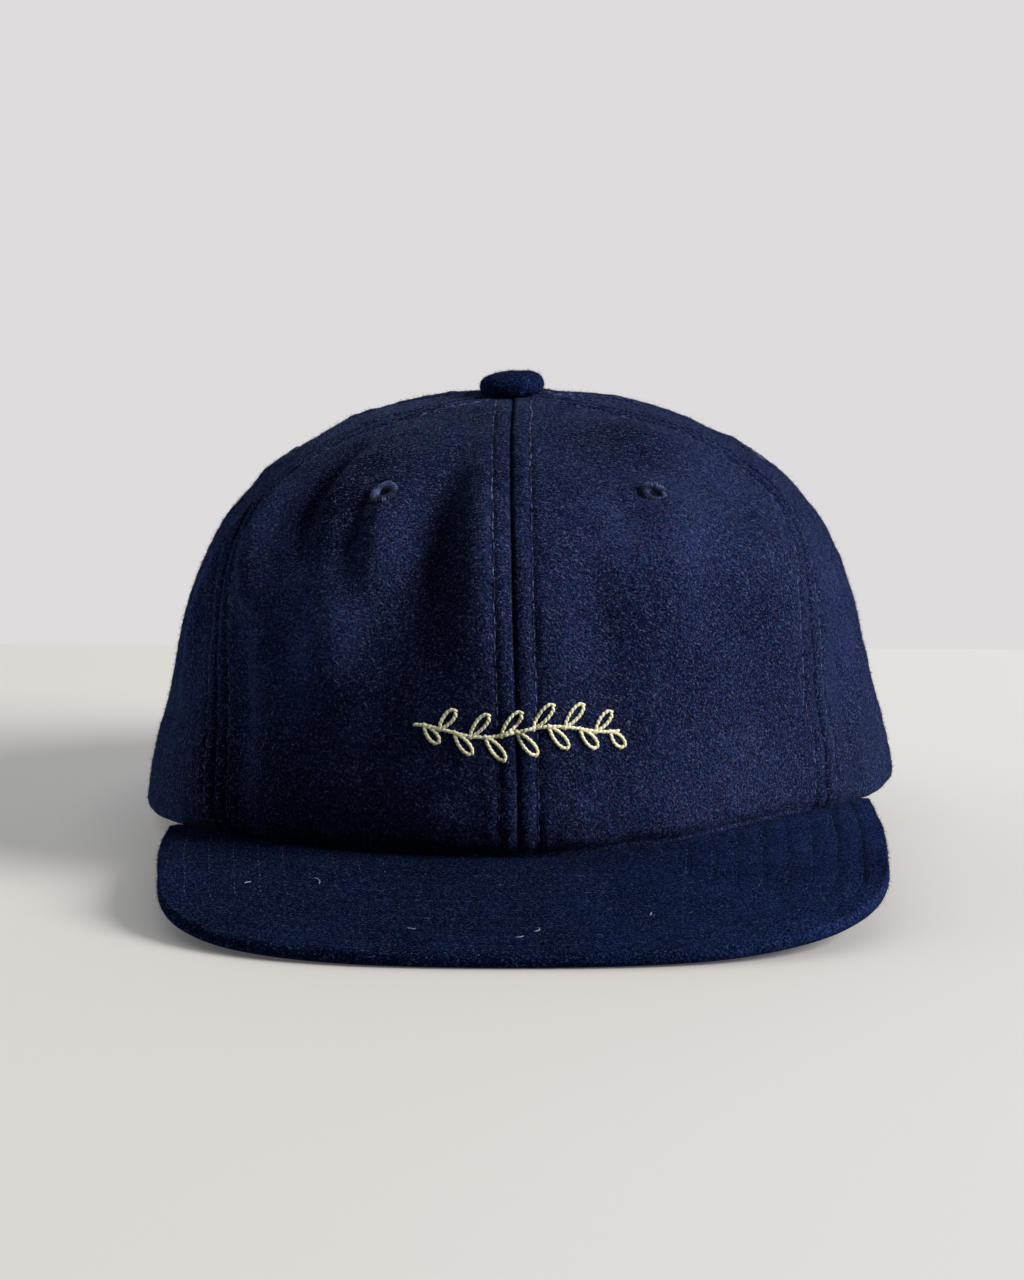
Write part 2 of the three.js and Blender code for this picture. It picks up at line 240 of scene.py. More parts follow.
# %% [markdown]
# ## The shape of the crown
#
# The crown isn't round: its front stands up and is nearly square at the shoulders, its back is a
# plain half dome. Measured cross sections describe it well. A smooth curve runs through each
# column of the table, like a bendy ruler laid against pins. A place on the crown is then an
# azimuth, in degrees from the front, and a share of the way from the hem to the top.

# %% Write down the crown's sections
CROWN_HEIGHT = 110.6
CROWN_ARC = 157.0
CROWN_SHIFT = -0.2
TOP_LEAN = -1.7
BACK_SEAM = 120.0
BACK_SQUARENESS = 2.0
CENTRE_SEAM = np.array([
    # share, azimuth: sewn a little askew, it drifts to the left on its way up
    (0.0, 0.0), (0.2, -0.3), (0.395, -0.9), (0.49, -1.2), (0.59, -1.6), (0.69, -2.0), (0.8, -2.5),
    (1.0, -2.5),
])
SEAM_SHIFTS = np.array([
    # share, degrees added at the left front seam, at the right one
    (0.0, 0.0, 0.0), (0.1, 0.3, 0.0), (0.2, 1.1, -1.5), (0.3, 1.0, -2.4), (0.395, 0.3, -3.2),
    (0.49, -0.8, -2.4), (0.59, 0.0, 0.0), (1.0, 0.0, 0.0),
])
CROWN_SECTIONS = np.array([
    # share, climb, half width, front, back, squareness, front seam
    (0.000, 0.000, 96.3, 97.0, 99.0, 2.00, 52.5),
    (0.100, 0.140, 93.8, 97.5, 98.5, 2.05, 52.0),
    (0.200, 0.290, 89.6, 97.0, 96.5, 2.10, 52.5),
    (0.300, 0.440, 86.4, 95.0, 93.0, 2.25, 53.5),
    (0.395, 0.580, 82.0, 90.0, 87.0, 2.45, 56.0),
    (0.490, 0.705, 75.1, 82.0, 78.0, 2.65, 60.0),
    (0.590, 0.815, 64.0, 69.5, 66.0, 2.75, 65.0),
    (0.690, 0.900, 50.3, 53.5, 52.0, 2.65, 68.0),
    (0.800, 0.960, 34.0, 35.0, 35.0, 2.35, 67.0),
    (0.965, 1.000, 7.0, 7.0, 7.0, 2.00, 61.0),
    (1.000, 1.000, 1.5, 1.5, 1.5, 2.00, 60.0),
])
HEM_HEIGHTS = np.array([
    # azimuth, height
    (-180, 0.0), (-145, 0.0), (-118, 2.0), (-90, 4.8), (-66, 7.5), (-45, 9.9), (-25, 10.7), (0, 11.0),
    (25, 13.7), (45, 15.8), (66, 14.4), (90, 12.8), (118, 7.5), (145, 0.0), (180, 0.0),
])
print("crown sections:", len(CROWN_SECTIONS))


# %% Run a smooth curve through each column
def ruler(table, column):
    """A smooth curve through a column of a table, by its first one, that never swings past its rows."""
    pins, heights = table[:, 0], table[:, column]
    slope = np.diff(heights) / np.diff(pins)
    product = slope[:-1] * slope[1:]
    lean = np.concatenate([slope[:1], np.zeros(len(pins) - 2), slope[-1:]])
    same_way = product > 0
    lean[1:-1][same_way] = 2 * product[same_way] / (slope[:-1] + slope[1:])[same_way]

    def at(place):
        i = np.clip(np.searchsorted(pins, place, side="right") - 1, 0, len(pins) - 2)
        span = pins[i + 1] - pins[i]
        t = (place - pins[i]) / span
        ends = heights[i] + (heights[i + 1] - heights[i]) * t * t * (3 - 2 * t)
        return ends + span * t * (1 - t) * (lean[i] * (1 - t) - lean[i + 1] * t)

    return at


climb_at, width_at, front_at, back_at, square_at, front_seam_at = (
    ruler(CROWN_SECTIONS, column) for column in range(1, 7))
hem_at = ruler(HEM_HEIGHTS, 1)
centre_seam_at = ruler(CENTRE_SEAM, 1)
shift_left_at, shift_right_at = (ruler(SEAM_SHIFTS, column) for column in (1, 2))
print("the front seams leave the hem", front_seam_at(0.0), "degrees to each side")


# %% Find a point of the crown
def wrap(azimuth):
    return (azimuth + 180) % 360 - 180


def crown_point(azimuth, share):
    """A point of the smooth crown, before any fold or seam."""
    azimuth, share = np.broadcast_arrays(np.asarray(azimuth, float), np.asarray(share, float))
    across, forward = np.sin(np.radians(azimuth)), np.cos(np.radians(azimuth))
    width = width_at(share)
    depth = np.where(forward > 0, front_at(share), back_at(share))
    power = np.where(forward > 0, square_at(share), BACK_SQUARENESS)
    radius = (np.abs(forward / depth) ** power + np.abs(across / width) ** power) ** (-1 / power)
    hem = hem_at(wrap(azimuth))
    lean = TOP_LEAN * (1 - width / CROWN_SECTIONS[0, 2]) ** 3 + CROWN_SHIFT
    height = hem + (CROWN_HEIGHT - hem) * climb_at(share)
    return np.stack([radius * across + lean, -radius * forward, height], -1)


def unit(vectors):
    return vectors / np.maximum(np.linalg.norm(vectors, axis=-1, keepdims=True), 1e-9)


def crown_outward(azimuth, share):
    """The direction that points straight out of the crown."""
    round_it = crown_point(azimuth + 0.5, share) - crown_point(azimuth - 0.5, share)
    up_it = (crown_point(azimuth, np.minimum(share + 0.002, 1))
             - crown_point(azimuth, np.maximum(share - 0.002, 0)))
    return unit(np.cross(round_it, up_it))


def radius_at(azimuth, share):
    point = crown_point(azimuth, share)
    return np.hypot(point[..., 0], point[..., 1])


print("half way up the front:", crown_point(0.0, 0.5).round(1))

# %% [markdown]
# ## Folds, seams and dents
#
# The cloth isn't sewn tight. It has broad hollows on the left, a crease from the shoulder and a
# ridge beside the centre seam. Each is a long soft mark on the crown: a hill or a valley, or a step
# that is high on one side and low on the other. Light and shade are also painted into the nap's
# colour, paler in some places and darker in others, and marks of the same kind say where. At a seam
# the two panels roll inward and meet, the seam allowance makes a flat band on each side, and the
# topstitching pulls that band down in a fine dotted line.

# %% Lay out the folds and the marks of painted light and shade
FOLDS = [
    # azimuth, share, half length, half width, turned, hill, step
    (5, 0.44, 44, 8, 0, 2.2, 0),
    (-16, 0.43, 40, 15, 0, -1.8, 4.6),
    (-11.5, 0.5, 26, 8.5, -5, -1.4, 7.6),
    (-36, 0.55, 14, 4.5, -18, 0, 2.6),
    (-29, 0.535, 14, 7, -14, -0.5, 7.0),
    (-41.5, 0.585, 18, 4.8, -21, -1.0, 6.2),
    (-48, 0.47, 20, 6.5, -30, 1.6, -4.6),
    (-26, 0.35, 13, 11, 0, 0.8, -4.2),
    (-44, 0.2, 24, 8, -3, -0.7, 3.4),
    (-65, 0.38, 24, 6, 8, 2.8, 0),
    (41, 0.71, 14, 12, -15, 0, 3.2),
    (30, 0.53, 17, 10, 25, 0, -3.0),
    (34, 0.62, 18, 8, -90, 0, -1.6),
    (31, 0.47, 18, 10, 30, 0.6, -4.0),
    (14, 0.40, 20, 7, 0, -0.6, 1.6),
    (17, 0.58, 16, 8, 0, 0.2, -2.6),
    (49, 0.63, 11, 12, 0, -1.2, 0),
    (42, 0.2, 30, 12, 0, -0.8, 1.8),
    (61, 0.2, 24, 5, 8, -1.2, 0),
    (67, 0.18, 22, 3.2, 38, 2.0, 0),
    (100, 0.34, 26, 10, 14, -1.6, 0),
    (-104, 0.3, 24, 9, -12, -1.6, 0),
    (146, 0.42, 26, 10, -10, -1.5, 0),
    (-150, 0.36, 28, 11, 12, -1.6, 0),
]


def bell(distance, half_width):
    return np.exp(-(distance / half_width) ** 2)


def offset_from(azimuth, share, middle, height, turned):
    """How far each place lies along and across a mark that is centred and turned so."""
    side = np.radians(wrap(azimuth - middle)) * radius_at(middle, height)
    up = (share - height) * CROWN_ARC
    turn = np.radians(turned)
    return up * np.cos(turn) + side * np.sin(turn), side * np.cos(turn) - up * np.sin(turn)


def soft_marks(azimuth, share, marks):
    """Adds up soft marks, each a hill and a step across it."""
    total = np.zeros(np.shape(azimuth))
    for middle, height, half_length, half_width, turned, hill, step in marks:
        along, across = offset_from(azimuth, share, middle, height, turned)
        shape = hill + step * across / half_width
        total += shape * bell(along, half_length) * bell(across, half_width)
    return total


PAINTED_LIGHT_MARKS = [
    # azimuth, share, half length, half width, turned, how much paler the painted light makes the nap,
    # painted shade below zero
    (18, 0.05, 16, 46, 0, 0.5), (-54, 0.12, 20, 11, 0, -0.55), (-33, 0.36, 17, 13, 0, 1.0),
    (-67, 0.38, 20, 5, 8, 1.7), (-12, 0.5, 24, 7, -5, -0.5), (21, 0.51, 11, 21, 0, 0.5),
    (36, 0.74, 13, 21, -20, -0.48), (-36, 0.7, 8, 24, 10, -0.3), (-22, 0.84, 12, 18, 0, -0.3),
    (64, 0.3, 26, 12, 20, 0.35), (-51, 0.56, 14, 7, -20, 0.6), (-37, 0.585, 15, 9, -22, -0.5),
    (-42, 0.07, 13, 24, 0, -0.4), (-46, 0.66, 15, 11, -24, -0.55), (42, 0.62, 18, 22, -10, 0.45),
]
DARKEST_PAINTED_SHADE = -0.6


# How much painted light, or painted shade below zero, each place of the crown gets.
def painted_light_at(azimuth, share):
    return np.maximum(soft_marks(azimuth, share, [(*mark, 0) for mark in PAINTED_LIGHT_MARKS]), DARKEST_PAINTED_SHADE)


print("folds:", len(FOLDS), "the deepest hollow", min(fold[5] for fold in FOLDS), "mm")

# %% Roll the seams
ROW_GAP = 4.7
STITCH_PITCH = 3.1
# the depth and the half width of the groove where two panels meet
CENTRE_ROLL = (1.3, 0.42)
OTHER_ROLL = (0.75, 0.45)
# how far out the band beside it stands, its middle and its half width
BAND = (0.5, 2.3, 1.9)
ROW_DENT = (0.55, 0.75)
PUCKER = (0.1, 2.2, 1.3)


def seam_azimuths(share):
    front, back = front_seam_at(share), 0 * share + BACK_SEAM
    return {"centre": centre_seam_at(share), "left": -front - shift_left_at(share),
            "right": front + shift_right_at(share), "back_left": -back, "back_right": back,
            "back": 0 * share + 180}


def seam_relief(azimuth, share):
    """The rolled edges, the flat bands beside them and the dents of the topstitching."""
    total = np.zeros(np.shape(azimuth))
    radius = radius_at(azimuth, share)
    open_wide = np.clip((radius - 8) / 14, 0, 1)
    stitch = np.cos(share * CROWN_ARC / STITCH_PITCH * 2 * np.pi)
    for name, seam in seam_azimuths(share).items():
        depth, half_width = CENTRE_ROLL if name == "centre" else OTHER_ROLL
        gap = np.abs(np.radians(wrap(azimuth - seam))) * radius
        total -= depth * bell(gap, half_width) * (0.35 + 0.65 * open_wide)
        total += BAND[0] * open_wide * bell(gap - BAND[1], BAND[2])
        total -= ROW_DENT[0] * open_wide * bell(gap - ROW_GAP, ROW_DENT[1]) * (0.8 - 0.2 * stitch)
        ripple = 1 + 0.5 * np.sin(share * 41 + seam)
        total += PUCKER[0] * open_wide * bell(gap - ROW_GAP - PUCKER[1], PUCKER[2]) * ripple
    return total


print("at the hem the seams lie at", {name: float(seam) for name, seam in seam_azimuths(0.0).items()})


# %% Put the cloth's shape together
def unevenness(points, wavelength, seed, waves=24):
    """Gentle random hills: sine waves that run in many directions, added up."""
    random = np.random.default_rng(seed)
    ways = unit(random.normal(size=(waves, 3))) * random.uniform(0.6, 1.5, (waves, 1))
    phases = points @ ways.T * 2 * np.pi / wavelength + random.uniform(0, 2 * np.pi, waves)
    return np.sin(phases).sum(-1) * np.sqrt(2 / waves)


WALL = 2.0
HEM_ROLL_HEIGHT = 13.0
HEM_DIP = 0.8
# how far the cloth turns in at the hem, and over what height
HEM_ROUND = (0.85, 1.3)
HEM_OVER_BRIM = (2.6, 2.2)
HEM_ROLLS = np.array([
    # azimuth, how far the cloth rolls in at the hem
    (-180, 0.0), (-85, 0.0), (-62, 1.6), (-40, 3.2), (0, 2.5), (30, 0.8), (58, 0.2), (75, 0.0), (180, 0.0),
])
hem_roll_at = ruler(HEM_ROLLS, 1)
EYELETS = {"front_left": (-29, 0.62), "front_right": (28, 0.609), "side_left": (-95, 0.62),
           "side_right": (95, 0.62), "back_left": (-150, 0.62), "back_right": (150, 0.62)}


def cloth_point(azimuth, share, inside=False):
    """A point of the finished cloth, on its outer or its inner face."""
    smooth = crown_point(azimuth, share)
    up = share * CROWN_ARC
    roll = hem_roll_at(wrap(azimuth)) * np.clip(1 - up / HEM_ROLL_HEIGHT, 0, 1) ** 2
    over_brim = np.clip(np.cos(np.radians(azimuth)) / 0.4 - 1, 0, 1)
    fine = seam_relief(azimuth, share) - HEM_ROUND[0] * bell(up, HEM_ROUND[1])
    fine = fine - HEM_OVER_BRIM[0] * over_brim * bell(up, HEM_OVER_BRIM[1])
    for middle, height in EYELETS.values():
        away = np.hypot(*offset_from(azimuth, share, middle, height, 0))
        fine = fine + 0.35 * bell(away - 6.5, 2.2) - 0.5 * bell(away, 3.4)
    fine = fine + 0.16 * unevenness(smooth, 17, 3) + 0.07 * unevenness(smooth, 4.5, 4)
    relief = soft_marks(azimuth, share, FOLDS) - roll + np.where(inside, -WALL, fine)
    moved = crown_outward(azimuth, share) * relief[..., None]
    at_hem = np.clip(1 - share / 0.02, 0, 1)
    dip = HEM_DIP * at_hem * np.maximum(np.cos(np.radians(azimuth)), 0)
    moved[..., 2] = moved[..., 2] * (1 - at_hem) - dip
    return smooth + moved


print("the front of the cloth at the hem:", cloth_point(np.array([0.0]), np.array([0.0])).round(1))

# %% [markdown]
# ## Melton wool
#
# Melton is woven, then milled until the weave is gone under a felt of short fibres. From a step
# away it is nearly black blue with a fine salt and pepper grain, a little violet here and green
# there, and stray light fibres. It has no gloss, only a soft bloom where it is seen edge on. Noise
# in the object's own space gives grain without a seam, and two stretched noises draw fibres. An
# attribute of the mesh carries painted light and shade, which make the nap paler or darker.

# %% Mix the wool
def blend(tree, way, amount, first, second):
    """Mixes two colours and gives back the result."""
    return node(tree, "ShaderNodeMix", {0: amount, 6: first, 7: second},
                data_type="RGBA", blend_type=way).outputs[2]


def noise(tree, source, scale, detail=2.0, stretch=None, turned=(0, 0, 0)):
    """Noise with features of 1 / scale metres, longer one way where it is stretched."""
    if stretch:
        source = node(tree, "ShaderNodeMapping", {"Vector": source, "Scale": stretch, "Rotation": turned},
                      vector_type="TEXTURE").outputs["Vector"]
    made = node(tree, "ShaderNodeTexNoise", {"Vector": source, "Scale": scale, "Detail": detail})
    return made.outputs["Fac"]


def bumps(tree, height, strength, distance):
    """The normals of a surface with fine bumps."""
    made = node(tree, "ShaderNodeBump", {"Height": height, "Strength": strength, "Distance": distance})
    return made.outputs["Normal"]


def mix_wool(name, dark, middle, light, fleck, sheen, painted_light_to_right=False):
    """Felted wool from three shades and its stray fibres' colour, with painted light and shade. Its right
    end may be painted lighter.
    """
    made, tree = new_finish(name)
    place = node(tree, "ShaderNodeTexCoord").outputs["Object"]
    grain = noise(tree, place, 1900, 3)
    # The mesh's attribute carries painted light and shade: the wool's colour is made paler or darker by it.
    tone_and_painted_light = node(tree, "ShaderNodeAttribute", attribute_name="tone_and_painted_light").outputs["Fac"]
    layers = [
        ramp(tree, noise(tree, place, 520, 2), [(0.35, (0.8, 1.0, 1.12)), (0.65, (1.18, 0.96, 0.98))]),
        ramp(tree, noise(tree, place, 70, 3), [(0.3, 0.8), (0.7, 1.2)]),
        ramp(tree, noise(tree, place, 24, 2), [(0.32, (0.82, 0.86, 0.9)), (0.68, (1.2, 1.16, 1.1))]),
        reckon(tree, "ADD", tone_and_painted_light, 1.0),
    ]
    # Painted light: the wool gets darker to the left and much paler to the right, as lit from the right.
    if painted_light_to_right:
        rightward = node(tree, "ShaderNodeSeparateXYZ", {0: place}).outputs["X"]
        right_side_light = between(tree, rightward, -0.07, 0.08)
        layers.append(ramp(tree, right_side_light, [(0.0, 0.84), (0.5, 0.94), (1.0, 1.9)]))
    cloth = ramp(tree, grain, [(0.33, dark), (0.5, middle), (0.68, light)])
    for layer in layers:
        cloth = blend(tree, "MULTIPLY", 1.0, cloth, layer)
    fibres = [ramp(tree, noise(tree, place, 1300, 1, (0.6, 0.6, 1.5), turned), [(0.62, 0.0), (0.74, 1.0)])
              for turned in ((0.5, 0.8, 0.2), (-0.4, -0.9, 0.4))]
    both = blend(tree, "LIGHTEN", 1.0, *fibres)
    felt = bumps(tree, blend(tree, "ADD", 0.5, grain, both), 0.7, 0.0005)
    dress(tree, Base_Color=blend(tree, "MIX", both, cloth, (*fleck, 1)), Normal=felt, IOR=1.02,
          Roughness=ramp(tree, grain, [(0.3, 0.98), (0.7, 0.84)]), Specular_IOR_Level=0.0,
          Sheen_Weight=sheen, Sheen_Roughness=0.2, Sheen_Tint=(0.5, 0.66, 1.0, 1))
    return made


wool = mix_wool("navy_melton", (0.0020, 0.0036, 0.0135), (0.0078, 0.0120, 0.0390),
                (0.0245, 0.0340, 0.096), (0.085, 0.10, 0.20), 0.10)
# The brim's wool has painted light, paler toward its right end.
brim_wool = mix_wool("brim_melton", (0.0007, 0.0020, 0.0088), (0.0027, 0.0064, 0.0262),
                     (0.0094, 0.0180, 0.062), (0.045, 0.06, 0.13), 0.012, painted_light_to_right=True)
print("wool finishes:", wool.name, brim_wool.name)

# %% [markdown]
# ## The six panels
#
# Each panel starts as flat cloth, cut from a grid that is as wide and as high as one. A hole is
# opened for the eyelet and the cloth is given its thickness while it is still flat, which keeps the
# piece closed. Then every point is laid on the crown. The grid's columns crowd toward the seams,
# where the finest shapes are. A cloth simulation could drape it, but the folds are known here and a
# direct layout puts each one where it belongs.

# %% Write down how the panels are cut
PANEL_COLUMNS = 92
PANEL_ROWS = 146
CROWDING = 0.72
SEAM_OPENING = -0.04
EYELET_CUT = 2.3
PANELS = {
    # the seams at its left and at its right
    "front_left": ("left", "centre"), "front_right": ("centre", "right"), "side_left": ("back_left", "left"),
    "side_right": ("right", "back_right"), "back_left": ("back", "back_left"),
    "back_right": ("back_right", "back"),
}


def edges_of(panel, share):
    """The azimuths between which a panel lies."""
    seams = seam_azimuths(share)
    start, end = (seams[name] for name in PANELS[panel])
    return np.where(start > end, start - 360, start), end


def widths_of(panel, share):
    start, end = edges_of(panel, share)
    return np.radians(end - start) * radius_at((start + end) / 2, share)


print({panel: widths_of(panel, 0.0).round(1) for panel in PANELS}, "mm wide at the hem")


# %% Make helpers for every piece
def read_points(piece):
    flat = np.empty(3 * len(piece.data.vertices))
    piece.data.vertices.foreach_get("co", flat)
    return flat.reshape(-1, 3)


def place_points(piece, points):
    """Puts a piece's points, in millimetres from the crown's axis, at their place in the scene."""
    piece.data.vertices.foreach_set("co", (points * MM + crown_axis).ravel())
    piece.data.update()


def flat_cloth(name, columns, rows):
    """A flat sheet from 0 to 1 both ways."""
    piece = add(bpy.ops.mesh.primitive_grid_add, name, x_subdivisions=columns, y_subdivisions=rows,
                size=1, location=(0.5, 0.5, 0))
    bpy.ops.object.transform_apply(location=True)
    return piece


def panel_azimuths(panel, across, share):
    """Turns the flat cloth's width into azimuths, with most columns close to the seams."""
    start, end = edges_of(panel, share)
    spread = across - CROWDING / (2 * np.pi) * np.sin(2 * np.pi * across)
    opening = np.degrees(SEAM_OPENING / radius_at((start + end) / 2, share))
    return start + opening + (end - start - 2 * opening) * spread


def open_eyelet(piece, panel, azimuth, height):
    """Takes out the faces of the flat cloth that fall inside the eyelet."""
    middles = np.empty(3 * len(piece.data.polygons))
    piece.data.polygons.foreach_get("center", middles)
    across, share = middles.reshape(-1, 3)[:, :2].T
    laid = crown_point(panel_azimuths(panel, across, share), share)
    inside = np.linalg.norm(laid - crown_point(azimuth, height), axis=1) < EYELET_CUT
    bpy.ops.object.mode_set(mode="EDIT")
    bpy.ops.mesh.select_mode(type="FACE")
    bpy.ops.mesh.select_all(action="DESELECT")
    bpy.ops.object.mode_set(mode="OBJECT")
    piece.data.polygons.foreach_set("select", inside)
    bpy.ops.object.mode_set(mode="EDIT")
    bpy.ops.mesh.delete(type="FACE")
    bpy.ops.mesh.select_all(action="SELECT")


def finish_piece(piece, material, smooth_below=None):
    """Gives a piece its finish and its body, and smooths its shading."""
    piece.data.materials.clear()
    piece.data.materials.append(material)
    bpy.ops.object.select_all(action="DESELECT")
    piece.select_set(True)
    bpy.context.view_layer.objects.active = piece
    if smooth_below:
        bpy.ops.object.shade_smooth_by_angle(angle=np.radians(smooth_below))
    else:
        bpy.ops.object.shade_smooth()
    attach(piece, "root")


def paint_tone_and_light(piece, paler):
    """Writes down for each point how much paler the nap is painted, for the wool's finish to read: painted
    light and shade, or an even tone.
    """
    marks = piece.data.attributes.new("tone_and_painted_light", "FLOAT", "POINT")
    marks.data.foreach_set("value", np.broadcast_to(paler, len(piece.data.vertices)).astype(np.float32))


def turn_outward():
    """Turns all faces of the piece in edit mode outwards and leaves edit mode."""
    bpy.ops.mesh.select_all(action="SELECT")
    bpy.ops.mesh.normals_make_consistent(inside=False)
    bpy.ops.object.mode_set(mode="OBJECT")


# %% Cut and form the panels
cloth_pieces = {}
for panel in PANELS:
    cloth = flat_cloth("cloth_" + panel, PANEL_COLUMNS, PANEL_ROWS)
    open_eyelet(cloth, panel, *EYELETS[panel])
    bpy.ops.mesh.extrude_region_move(TRANSFORM_OT_translate={"value": (0, 0, -1)})
    turn_outward()
    across, share, layer = read_points(cloth).T
    azimuths = panel_azimuths(panel, across, share)
    place_points(cloth, cloth_point(azimuths, share, inside=layer < -0.5))
    # painted light and shade from the marks, written on the panel's points
    paint_tone_and_light(cloth, painted_light_at(azimuths, share))
    finish_piece(cloth, wool, smooth_below=55)
    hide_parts(panel.replace("_", "_panel_"))
    widths = widths_of(panel, (np.arange(PANEL_ROWS) + 0.5) / PANEL_ROWS)
    cloth_pieces[panel] = (cloth, layer > -0.5)

# %% [markdown]
# ## Stitches
#
# A topstitch is a short bridge of thread that dives into the cloth at both ends. One is modelled
# from a small ball, drawn out long, and copied along each row. A thousand separate objects would be
# slow, so the copies are joined into one mesh from arrays as they are laid.

# %% Model one stitch and a way to sew a row
def ball(segments, rings, radius):
    """A ball's points and faces, put in order because Blender's own order changes from run to run."""
    model = add(bpy.ops.mesh.primitive_uv_sphere_add, "ball", segments=segments, ring_count=rings,
                radius=radius)
    points, faces = read_points(model), []
    for face in model.data.polygons:
        corners = list(face.vertices)
        first = corners.index(min(corners))
        faces.append(tuple(corners[first:] + corners[:first]))
    bpy.data.objects.remove(model, do_unlink=True)
    return points, sorted(faces)


def one_stitch():
    points, faces = ball(6, 4, 0.5)
    points = points[:, [2, 0, 1]]
    points[:, 0] = np.sign(points[:, 0]) * np.abs(points[:, 0] * 2) ** 0.8 / 2
    return points, faces


STITCH = one_stitch()
print("one stitch has", len(STITCH[1]), "faces")


def new_piece(name, points, faces):
    """A mesh object from points in millimetres and its faces."""
    mesh = bpy.data.meshes.new(name)
    mesh.from_pydata((points * MM + crown_axis).tolist(), [], faces)
    mesh.update()
    piece = bpy.data.objects.new(name, mesh)
    bpy.context.collection.objects.link(piece)
    return piece


def sew(name, starts, ends, outs, width, height, material, sunk=0.0):
    """Lays one stitch from each start to its end and joins them."""
    model, model_faces = STITCH
    along = ends - starts
    lengths = np.linalg.norm(along, axis=1)
    x = unit(along)
    y = unit(np.cross(outs, x))
    z = np.cross(x, y)
    middles = (starts + ends) / 2 - z * sunk
    points = (middles[:, None] + model[None, :, :1] * (x * lengths[:, None])[:, None]
              + model[None, :, 1:2] * y[:, None] * np.reshape(width, (-1, 1, 1))
              + model[None, :, 2:] * z[:, None] * np.reshape(height, (-1, 1, 1)))
    count = len(model)
    faces = [tuple(corner + first for corner in face)
             for first in range(0, len(starts) * count, count) for face in model_faces]
    piece = new_piece(name, points.reshape(-1, 3), faces)
    finish_piece(piece, material)
    print(name, len(starts), "stitches,", len(piece.data.polygons), "faces")
    return piece


# %% Mix the threads
def mix_thread(name, dark, light, roughness, sheen, worn=False):
    """Twisted thread: fine bands across it, in two close shades. Worn thread is dark in patches."""
    made, tree = new_finish(name)
    place = node(tree, "ShaderNodeTexCoord").outputs["Object"]
    strands = noise(tree, place, 2200, 2, (1.0, 1.0, 0.45), (0.6, 0.3, 0))
    shades = ramp(tree, strands, [(0.35, dark), (0.65, light)])
    if worn:
        patches = ramp(tree, noise(tree, place, 330, 1), [(0.42, 0.2), (0.58, 1.0)])
        shades = blend(tree, "MULTIPLY", 1.0, shades, patches)
    dress(tree, Base_Color=shades, Normal=bumps(tree, strands, 0.5, 0.0002), Roughness=roughness,
          Sheen_Weight=sheen, Sheen_Roughness=0.4, Specular_IOR_Level=0.1)
    return made


seam_thread = mix_thread("navy_thread", (0.022, 0.032, 0.092), (0.15, 0.19, 0.40), 0.8, 0.03, worn=True)
brim_thread = mix_thread("brim_thread", (0.010, 0.016, 0.050), (0.090, 0.115, 0.26), 0.8, 0.0, worn=True)
eyelet_thread = mix_thread("eyelet_thread", (0.018, 0.028, 0.080), (0.105, 0.135, 0.30), 0.7, 0.05,
                           worn=True)
motif_thread = mix_thread("yellow_thread", (0.90, 0.82, 0.46), (1.0, 0.97, 0.74), 0.5, 0.6)
print("threads:", seam_thread.name, brim_thread.name, eyelet_thread.name, motif_thread.name)

# %% Topstitch the seams
FIRST_STITCH = 0.025
LAST_STITCH = 0.94
ROW_END_RADIUS = 11
STITCH_SHARE = 0.78
HAND_WOBBLE = 0.12
random = np.random.default_rng(11)


def row_beside(seam, side, shares, wobble):
    """The azimuths of a row of stitches, so far to one side of a seam."""
    middle = seam_azimuths(shares)[seam]
    return middle + side * np.degrees((ROW_GAP + wobble) / radius_at(middle, shares))


for seam in seam_azimuths(0.5):
    starts, ends, outs = [], [], []
    for side in (-1, 1):
        shares = np.arange(FIRST_STITCH, LAST_STITCH, STITCH_PITCH / CROWN_ARC)
        shares = shares[radius_at(seam_azimuths(shares)[seam], shares) > ROW_END_RADIUS]
        wobble = random.normal(0, HAND_WOBBLE, len(shares))
        next_shares = shares + STITCH_SHARE * STITCH_PITCH / CROWN_ARC
        beside = row_beside(seam, side, shares, wobble)
        starts.append(cloth_point(beside, shares))
        ends.append(cloth_point(row_beside(seam, side, next_shares, wobble), next_shares))
        outs.append(crown_outward(beside, shares))
    starts, ends, outs = (np.concatenate(part) for part in (starts, ends, outs))
    sew("stitches_" + seam, starts, ends, outs, 0.5, 0.42, seam_thread, sunk=-0.02)

# %% [markdown]
# ## The eyelets
#
# An eyelet is a hole bound with buttonhole stitch: some two dozen threads go through the hole and back
# over its edge. A torus gives the ring and the right number of faces. Its section is redrawn to
# run over the cloth, down through the hole and out on the inside, and each five columns swell
# into one thread. Chance makes a thread longer or taller than the next.

# %% Work the eyelets
THREADS = 26
COLUMNS_PER_THREAD = 5
TORUS_RADIUS = 2
EYELET_STRETCH = 1.25
SLIT_TURN = -40
EYELET_SECTION = np.array([
    # radius, height
    (3.3, -0.2), (3.15, 0.15), (2.75, 0.38), (2.25, 0.45), (1.95, 0.28), (1.68, -0.05), (1.58, -0.4),
    (1.55, -1.1), (1.55, -1.9), (1.65, -2.4), (2.0, -2.7), (2.6, -2.6), (2.95, -2.3), (2.6, -2.15),
    (1.95, -2.05), (1.9, -1.1), (1.9, -0.2), (2.5, -0.15),
])


